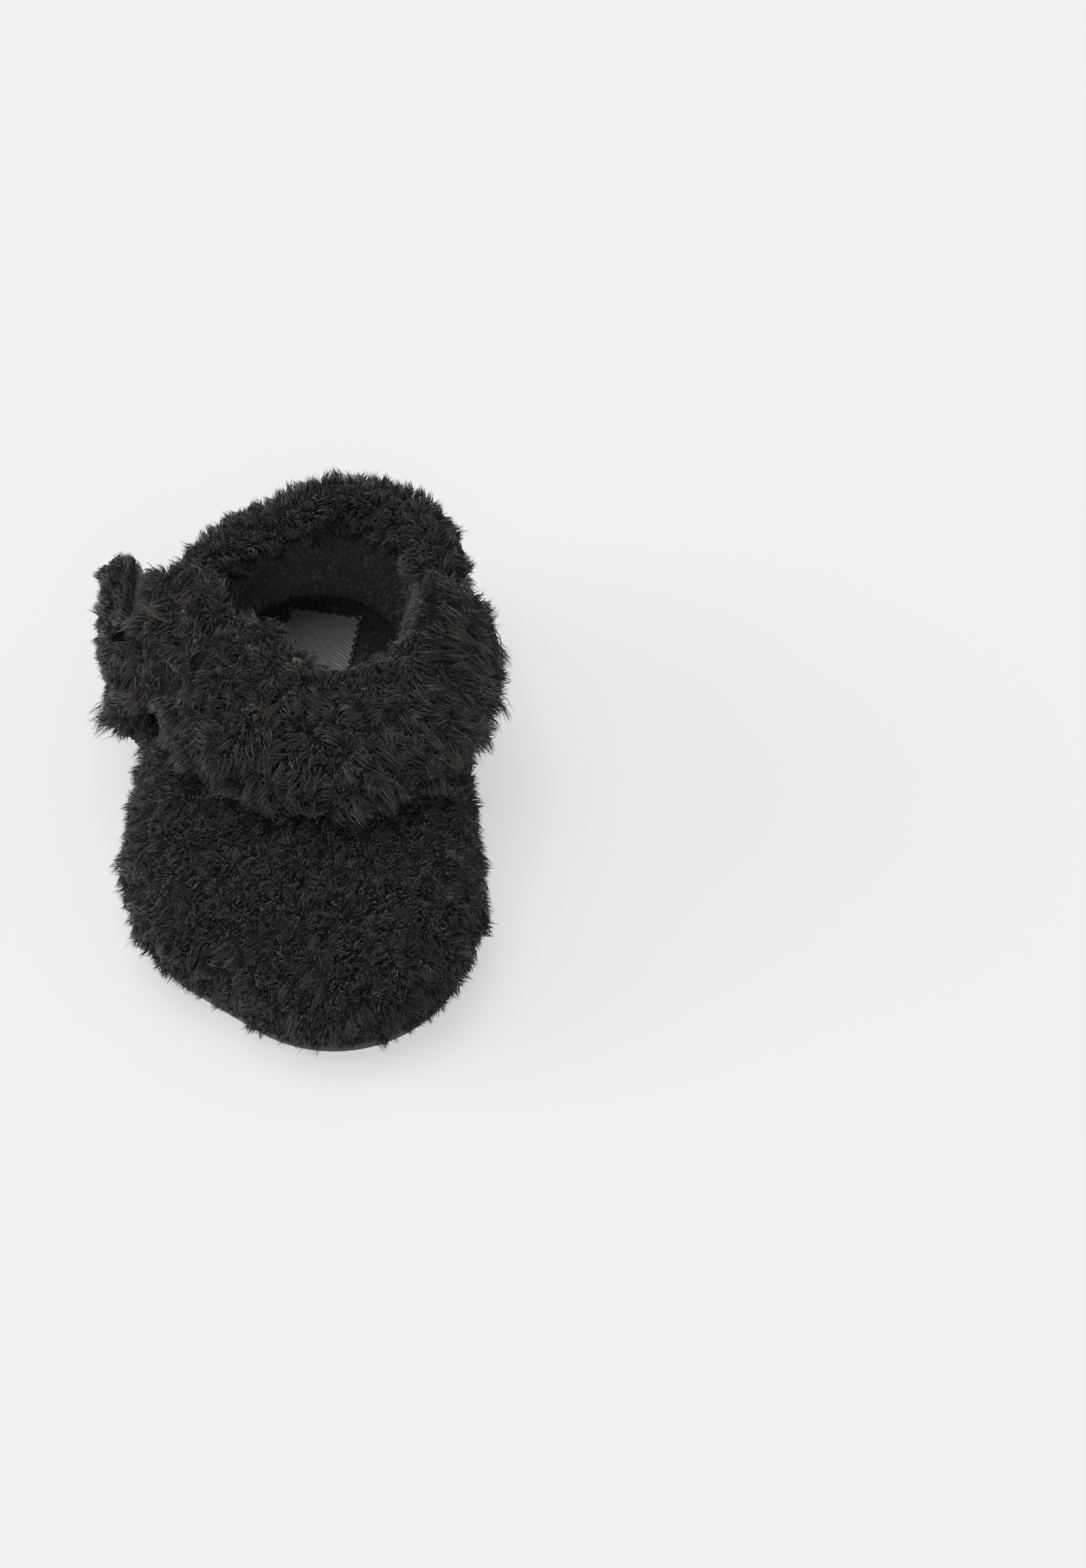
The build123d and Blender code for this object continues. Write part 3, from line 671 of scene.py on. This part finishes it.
class BOOTIE_OT_heel(bpy.types.Operator):
    """Makes the heel's fleece below the collar, and its pile"""

    bl_idname = "bootie.heel"
    bl_label = "Heel"

    def execute(self, context):
        sizes = context.scene.bootie_sizes
        colours = context.scene.bootie_colours
        cloth = fleece("curly heel fleece", colours.curly, 3 * MM)
        skin = copy_of("heel_fleece", "heel_shell")
        soften(skin, 1.0 * MM, 2)
        outer = ramp(near(skin, "heel_lining"), 1.5 * MM, 4 * MM)
        outer = outer * ramp(near(skin, "loop_tape"), 0.6 * MM, 2.5 * MM)
        move_to(skin, corners(skin) - normals(skin) * (outer * sizes.heel_pile * 0.62)[:, None])
        rumple(skin, sizes.tuft, 1.6 * MM, outer)
        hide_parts("heel_shell")
        dress(skin, cloth, "shoe")
        coat = grow_pile(
            "heel_pile", skin, outer, 160000, sizes.heel_pile, sizes.tuft, sizes.lock, 21, downward, lean=0.5
        )
        dress(coat, cloth, "shoe")
        return {"FINISHED"}


class BOOTIE_OT_collar(bpy.types.Operator):
    """Makes the padded roll round the heel, and its pile"""

    bl_idname = "bootie.collar"
    bl_label = "Collar"

    def execute(self, context):
        sizes = context.scene.bootie_sizes
        colours = context.scene.bootie_colours
        cloth = fleece("collar fleece", colours.streaky, 4 * MM)
        skin = copy_of("collar_roll", "collar_cover", "collar_padding")
        soften(skin, 1.4 * MM, 4)
        seat = near(skin, "heel_shell", "heel_lining")
        outer = ramp(seat, 0.5 * MM, 2 * MM)
        points = corners(skin) - normals(skin) * (outer * sizes.collar_pile * 0.6)[:, None]
        # The roll leans outwards on the inner side of the foot.
        points[:, 0] += outer * ramp(points[:, 0], 5 * MM, 25 * MM) * 2 * MM
        move_to(skin, points)
        puff(skin, outer, 1.5 * MM, pressure=3000.0)
        modify(skin, "SUBSURF", levels=1, render_levels=1)
        outer = ramp(near(skin, "heel_shell", "heel_lining"), 0.5 * MM, 2 * MM)
        rumple(skin, 9 * MM, 2.0 * MM, outer, 0.2)
        rumple(skin, sizes.tuft, 1.0 * MM, outer)
        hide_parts("collar_cover", "collar_padding")
        dress(skin, cloth, "shoe")
        coat = grow_pile(
            "collar_pile", skin, outer, 180000, sizes.collar_pile, sizes.tuft, sizes.lock, 31, ruffled,
            lean=0.5, stretch=1.3, tight=0.65,
        )
        dress(coat, cloth, "shoe")
        return {"FINISHED"}


def fold_line():
    """A point on the line that the band folds along, and the direction from its root to its loose part."""
    joint = next(j for j in frame["record"]["behaviour"]["joints"] if j["name"] == "band_lift")
    axis = Vector(joint["axis"]).normalized()
    outward = Vector((-1, 0, 0))
    return Vector(joint["pos_m"]), (outward + axis.cross(outward)).normalized()


def across_fold(piece):
    """Bakes a band piece's transform into its mesh."""
    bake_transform(piece)


def close_fold(obj):
    """Moves the root's cut face over the gap that the CAD pieces leave at the fold."""
    place, along = fold_line()
    points = corners(obj)
    ahead = (points - np.array(place)) @ np.array(along)
    gap = 0.15 * MM
    at_cut = np.abs(ahead + gap) < 0.05 * MM
    points[at_cut] += np.array(along) * 4 * gap
    move_to(obj, points)


class BOOTIE_OT_band(bpy.types.Operator):
    """Makes the broad padded band over the instep, its long pile and its knitted underside"""

    bl_idname = "bootie.band"
    bl_label = "Instep band"

    def execute(self, context):
        sizes = context.scene.bootie_sizes
        colours = context.scene.bootie_colours
        cloth = fleece("long pile fleece", colours.streaky, 5 * MM)
        skin = copy_of("band_fleece", "instep_band", "band_padding", "band_root")
        close_fold(skin)
        soften(skin, 1.4 * MM, 12)
        under = ("band_lining", "band_root_lining")
        outer = ramp(near(skin, *under), 0.6 * MM, 2.6 * MM)
        move_to(skin, corners(skin) - normals(skin) * (outer * sizes.band_pile * 0.5)[:, None])
        # The opening's edge is rolled back to leave room for its pile, least at its front.
        points = corners(skin)
        spoke = points[:, :2] - np.array([3, 27]) * MM
        far = np.linalg.norm(spoke, axis=1, keepdims=True)
        toward = spoke / far
        front = ramp(toward @ np.array([-0.17, -0.985]), 0.6, 0.98)
        medial_front = ramp(toward @ np.array([0.75, -0.66]), 0.7, 1.0)
        roll = (4 - 6.5 * front + 2.5 * medial_front) * MM
        points[:, :2] += toward * (1 - ramp(far, 15 * MM, 27 * MM)) * roll[:, None]
        # Its sewn end on the inner side is tucked in at the bottom.
        low_end = ramp(points[:, 0], 28 * MM, 34 * MM) * (1 - ramp(points[:, 2], 21 * MM, 32 * MM))
        low_end = low_end * (1 - ramp(points[:, 1], 3 * MM, 12 * MM))
        points[:, 0] -= low_end * 3.5 * MM
        points[:, 1] += low_end * 1.5 * MM
        points[:, 2] += low_end * 2 * MM
        move_to(skin, points)
        puff(skin, outer, 2.5 * MM, pressure=100.0)
        modify(skin, "SUBSURF", levels=1, render_levels=1)
        outer = ramp(near(skin, *under), 0.6 * MM, 2.6 * MM)
        rumple(skin, 11 * MM, 3.0 * MM, outer, 0.05)
        lateral = 1 - ramp(corners(skin)[:, 0], -24 * MM, -8 * MM)
        ridges(skin, -55, 5.5 * MM, 2.3 * MM, outer * lateral)
        rumple(skin, sizes.streak, 1.2 * MM, outer)
        shaggy = ramp(near(skin, *under), 0.4 * MM, 1.4 * MM)
        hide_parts("instep_band", "band_padding", "band_root")
        dress(skin, cloth)
        across_fold(skin)
        for part in range(2):
            coat = grow_pile(
                f"band_pile_{part + 1}", skin, shaggy, 180000, sizes.band_pile, sizes.streak, sizes.lock,
                41 + part, swept, lean=0.75, segments=3, stretch=2.2, tight=0.75, dip=0.7,
            )
            dress(coat, cloth)
            across_fold(coat)
        back = copy_of("band_underside", *under)
        close_fold(back)
        modify(back, "REMESH", mode="VOXEL", voxel_size=0.45 * MM)
        modify(back, "SMOOTH", factor=0.5, iterations=3)
        # The knit is cut back from the band's edges, where the pile turns over it.
        points = corners(back)
        low, high = points[:, 1].min(), points[:, 1].max()
        middle = (low + high) / 2
        points[:, 1] = middle + (points[:, 1] - middle) * 0.9
        move_to(back, points)
        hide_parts(*under)
        dress(back, woven("warp-knit backing", colours.knit, 0.9 * MM, "X"))
        across_fold(back)
        # The knit's face towards the foot is brushed to a short pile.
        brushed = ramp(near(back, "instep_band", "band_root"), 0.3 * MM, 1.0 * MM)
        coat = grow_pile(
            "band_underside_pile", back, brushed, 50000, sizes.lining_pile, 1.2 * MM, sizes.lock * 0.8, 45,
            ruffled, lean=0.5, stretch=1.0, strays=0.0,
        )
        # It takes the footbed pile's colour, painted shade included.
        dress(coat, fleece("brushed backing knit", colours.footbed, 2 * MM, deep=0.3))
        across_fold(coat)
        return {"FINISHED"}


def lean_in(points, low):
    """How far the tab's front end leans in to the band that it is sewn to. low is the tab's lowest corner."""
    front = 1 - ramp(points[:, 1], low[1], low[1] + 10 * MM)
    under_band = 1 - ramp(points[:, 2], low[2] + 9 * MM, low[2] + 17 * MM)
    return front * (2.2 + 4.2 * under_band) * MM


class BOOTIE_OT_tab(bpy.types.Operator):
    """Makes the fastening tab, its pile and its knitted back"""

    bl_idname = "bootie.tab"
    bl_label = "Fastening tab"

    def execute(self, context):
        sizes = context.scene.bootie_sizes
        colours = context.scene.bootie_colours
        cloth = fleece("tab fleece", colours.streaky, 4 * MM)
        skin = copy_of("tab_fleece", "fastening_tab")
        soften(skin, 1.0 * MM, 8)
        low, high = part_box("fastening_tab")
        points = corners(skin)
        outer = ramp(high[0] - points[:, 0], 0.8 * MM, 3 * MM)
        points[:, 0] += lean_in(points, low)
        # The free end's upper corner is the fullest part.
        lump = ramp(points[:, 1], low[1] + 12 * MM, high[1]) * ramp(points[:, 2], high[2] - 14 * MM, high[2])
        points += normals(skin) * (lump * outer * 2 * MM)[:, None]
        points[:, 1] += ramp(points[:, 1], low[1] + 12 * MM, high[1]) * 2 * MM
        points[:, 2] += ramp(points[:, 2], high[2] - 12 * MM, high[2]) * 2 * MM
        move_to(skin, points)
        move_to(skin, corners(skin) - normals(skin) * (outer * sizes.collar_pile * 0.5)[:, None])
        puff(skin, outer, 1.5 * MM, pressure=4.0)
        modify(skin, "SUBSURF", levels=1, render_levels=1)
        points = corners(skin)
        outer = ramp(high[0] + lean_in(points, low) - points[:, 0], 0.8 * MM, 3 * MM)
        rumple(skin, sizes.streak, 1.4 * MM, outer, 0.4)
        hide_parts("fastening_tab")
        dress(skin, cloth)
        coat = grow_pile(
            "tab_pile", skin, outer, 100000, sizes.collar_pile * 0.85, sizes.streak, sizes.lock, 51, backward,
            lean=0.5, stretch=1.8,
        )
        dress(coat, cloth)
        for piece in (skin, coat):
            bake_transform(piece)
        finish("tab_backing", woven("warp-knit tab backing", colours.knit, 0.9 * MM, "Y"))
        return {"FINISHED"}


class BOOTIE_OT_lining(bpy.types.Operator):
    """Makes the sheared fleece inside the bootie and on its footbed"""

    bl_idname = "bootie.lining"
    bl_label = "Lining"

    def execute(self, context):
        sizes = context.scene.bootie_sizes
        # The lining's light colour is partly painted light for the inside, and its ground gets less painted
        # shade than the outer fleece's.
        cloth = fleece("sheared lining fleece", context.scene.bootie_colours.short, 2 * MM, deep=0.25)
        for name, node, behind, triangles, seed in (
            ("vamp_lining_fleece", "vamp_lining", "vamp_shell", 60000, 61),
            ("heel_lining_fleece", "heel_lining", "heel_shell", 85000, 62),
        ):
            skin = copy_of(name, node)
            soften(skin, 0.9 * MM, 1)
            inner = ramp(near(skin, behind), 1.0 * MM, 1.7 * MM)
            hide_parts(node)
            dress(skin, cloth, "shoe")
            coat = grow_pile(
                name.replace("fleece", "pile"), skin, inner, triangles, sizes.lining_pile, 1.2 * MM,
                sizes.lock * 0.8, seed, ruffled, lean=0.5, stretch=1.0, strays=0.0,
            )
            dress(coat, cloth, "shoe")
        # The footbed's darker colour is painted shade on the same sheared fleece as the lining.
        cloth = fleece("sheared footbed fleece", context.scene.bootie_colours.footbed, 2 * MM, deep=0.3)
        skin = copy_of("footbed_fleece", "footbed")
        soften(skin, 0.8 * MM, 2)
        top = ramp(normals(skin)[:, 2], 0.5, 0.9) * ramp(near(skin, "woven_label"), 0.3 * MM, 0.9 * MM)
        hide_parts("footbed")
        dress(skin, cloth, "shoe")
        coat = grow_pile(
            "footbed_pile", skin, top, 85000, sizes.lining_pile, 1.2 * MM, sizes.lock * 0.8, 63, ruffled,
            lean=0.6, stretch=1.0, strays=0.0,
        )
        dress(coat, cloth, "shoe")
        return {"FINISHED"}


def label_frame():
    """The woven label's top: its middle, and its half width and half length as vectors."""
    mesh = frame["nodes"]["woven_label"].data
    top = max(v.co.z for v in mesh.vertices)
    found = []
    for vertex in mesh.vertices:
        if top - vertex.co.z < 0.01 * MM and all((vertex.co - c).length > MM for c in found):
            found.append(vertex.co.copy())
    near_corner, far_corner = sorted(found[1:], key=lambda c: (c - found[0]).length)[:2]
    middle = sum(found, Vector()) / len(found)
    across, along = near_corner - found[0], far_corner - found[0]
    if across.x < 0:
        across = -across
    if along.y < 0:
        along = -along
    return middle, across / 2, along / 2


class BOOTIE_OT_label(bpy.types.Operator):
    """Makes the satin-twill label and the zigzag thread that holds it"""

    bl_idname = "bootie.label"
    bl_label = "Woven label"

    def execute(self, context):
        colours = context.scene.bootie_colours
        middle, across, along = label_frame()
        step = 0.13 * MM
        counts = [round(2 * side.length / step) for side in (across, along)]
        bpy.ops.object.select_all(action="DESELECT")
        bpy.ops.mesh.primitive_grid_add(x_subdivisions=counts[0], y_subdivisions=counts[1], size=2)
        label = context.object
        label.name = label.data.name = "label_twill"
        points = corners(label)
        u, v = points[:, 0], points[:, 1]
        x, y = u * across.length, v * along.length
        # The twill's ribs are 0.4 mm apart on the cloth, and are drawn twice as coarse so that they show.
        rib = 0.8 * MM
        slope = math.radians(-32)
        wave = np.cos(2 * math.pi * (x * math.sin(slope) - y * math.cos(slope)) / rib)
        crown = (1 - u**4) * (1 - v**4) * 0.5 * MM
        sag = 0.15 * MM * np.sin(x / (3 * MM)) * np.cos(y / (4 * MM))
        high = middle.z + crown + sag * (1 - u**4) + wave * 0.07 * MM
        flat = np.outer(u, across) + np.outer(v, along) + np.array(middle)
        flat[:, 2] = high
        move_to(label, flat)
        modify(label, "SOLIDIFY", thickness=0.3 * MM, offset=-1.0)
        only(label)
        bpy.ops.object.shade_smooth()
        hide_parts("woven_label")
        cloth = woven("satin twill", colours.label, rib / 2, "DIAGONAL", 0.45)
        dress(label, cloth, "shoe")
        thread = copy_of("label_zigzag", "label_stitching")
        modify(thread, "REMESH", mode="VOXEL", voxel_size=0.1 * MM)
        modify(thread, "SMOOTH", factor=0.5, iterations=3)
        points = corners(thread)
        points[:, 2] = middle.z + (points[:, 2] - middle.z) * 1.4 + 0.1 * MM
        move_to(thread, points)
        only(thread)
        bpy.ops.object.shade_smooth()
        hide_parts("label_stitching")
        spun = woven("spun polyester thread", colours.thread, 0.25 * MM, "DIAGONAL", 0.6)
        dress(thread, spun, "shoe")
        return {"FINISHED"}


def grow_hooks(name, node, spacing, tall, thick):
    """Rows of J-shaped hooks on the tape's face, which looks to +X."""
    low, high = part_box(node)
    margin = 1.2 * MM
    rows = np.arange(low[1] + margin, high[1] - margin, spacing)
    columns = np.arange(low[2] + margin, high[2] - margin, spacing)
    y, z = (grid.ravel() for grid in np.meshgrid(rows, columns))
    half = thick / 2
    # The stem's path, as shares of its height: out of the tape and back along +Z.
    path = ((-0.2, 0.0), (0.6, 0.0), (1.0, 0.35), (0.9, 0.75), (0.55, 0.9))
    square = ((-1, -1), (1, -1), (1, 1), (-1, 1))
    rings = []
    for out, along in path:
        for side, up in square:
            # A ring lies across the stem at first, and across the hook's arm after its bend.
            x_shift, z_shift = (-up * half, 0) if along else (0, up * half)
            x = np.full(len(y), high[0] + out * tall + x_shift)
            rings.append(np.stack([x, y + side * half, z + along * tall + z_shift], axis=1))
    sides = len(square)
    end = (len(path) - 1) * sides
    pattern = [(3, 2, 1, 0), *tube_faces(len(path), sides), (end, end + 1, end + 2, end + 3)]
    return mesh_of(name, np.stack(rings, axis=1).reshape(-1, 3), pattern, len(y), len(rings))


class BOOTIE_OT_tapes(bpy.types.Operator):
    """Makes the loop tape's loops, the hook tape's hooks and the thread round both"""

    bl_idname = "bootie.tapes"
    bl_label = "Touch tapes"

    def execute(self, context):
        colours = context.scene.bootie_colours
        thread = woven("tape sewing thread", colours.thread, 0.3 * MM, "DIAGONAL", 0.6)
        for node in ("loop_tape_stitching", "hook_tape_stitching"):
            finish(node, thread)
        loops = woven("brushed nylon loop tape", colours.tape, 0.6 * MM, "Z", 0.8)
        hooks = woven("moulded nylon hook tape", colours.tape, 0.8 * MM, "Z", 0.4)
        finish("loop_tape", loops)
        finish("hook_tape", hooks)
        tape = copy_of("loop_field", "loop_tape")
        modify(tape, "REMESH", mode="VOXEL", voxel_size=0.5 * MM)
        face = ramp(-normals(tape)[:, 0], 0.6, 0.95)
        fuzz = grow_pile(
            "loop_fuzz", tape, face, 20000, 0.35 * MM, 0.7 * MM, 0.12 * MM, 71, ruffled, lean=1.0, wild=0.9,
            stretch=1.0, strays=0.0,
        )
        bpy.data.objects.remove(tape)
        dress(fuzz, loops, "shoe")
        # Real hooks are 0.4 mm apart; these are drawn three times as coarse, so that they show.
        field = grow_hooks("hook_field", "hook_tape", 1.2 * MM, 0.28 * MM, 0.2 * MM)
        dress(field, hooks, "tab")
        return {"FINISHED"}


class BOOTIE_PT_panel(bpy.types.Panel):
    """Lists the bootie's pieces in the 3D view's sidebar"""

    bl_idname = "BOOTIE_PT_panel"
    bl_label = "Baby bootie"
    bl_space_type = "VIEW_3D"
    bl_region_type = "UI"
    bl_category = "Bootie"

    def draw(self, context):
        layout = self.layout
        for group_name in ("bootie_sizes", "bootie_colours"):
            settings = getattr(context.scene, group_name)
            for key in settings.bl_rna.properties.keys():
                if key not in ("rna_type", "name"):
                    layout.prop(settings, key)
        for operator in OPERATORS:
            layout.operator(operator.bl_idname)


OPERATORS = (
    BOOTIE_OT_stage,
    BOOTIE_OT_sole,
    BOOTIE_OT_vamp,
    BOOTIE_OT_heel,
    BOOTIE_OT_collar,
    BOOTIE_OT_band,
    BOOTIE_OT_tab,
    BOOTIE_OT_lining,
    BOOTIE_OT_label,
    BOOTIE_OT_tapes,
)
CLASSES = (BootieSizes, BootieColours, *OPERATORS, BOOTIE_PT_panel)


def register():
    """Registers the classes and hangs the settings on the scene."""
    for cls in CLASSES:
        bpy.utils.register_class(cls)
    bpy.types.Scene.bootie_sizes = PointerProperty(type=BootieSizes)
    bpy.types.Scene.bootie_colours = PointerProperty(type=BootieColours)


def unregister():
    """Takes the settings and classes away again."""
    del bpy.types.Scene.bootie_colours
    del bpy.types.Scene.bootie_sizes
    for cls in reversed(CLASSES):
        bpy.utils.unregister_class(cls)


def main():
    """Registers the add-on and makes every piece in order."""
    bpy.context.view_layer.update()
    register()
    for operator in OPERATORS:
        family, name = operator.bl_idname.split(".")
        getattr(getattr(bpy.ops, family), name)()


if __name__ == "__main__":
    main()
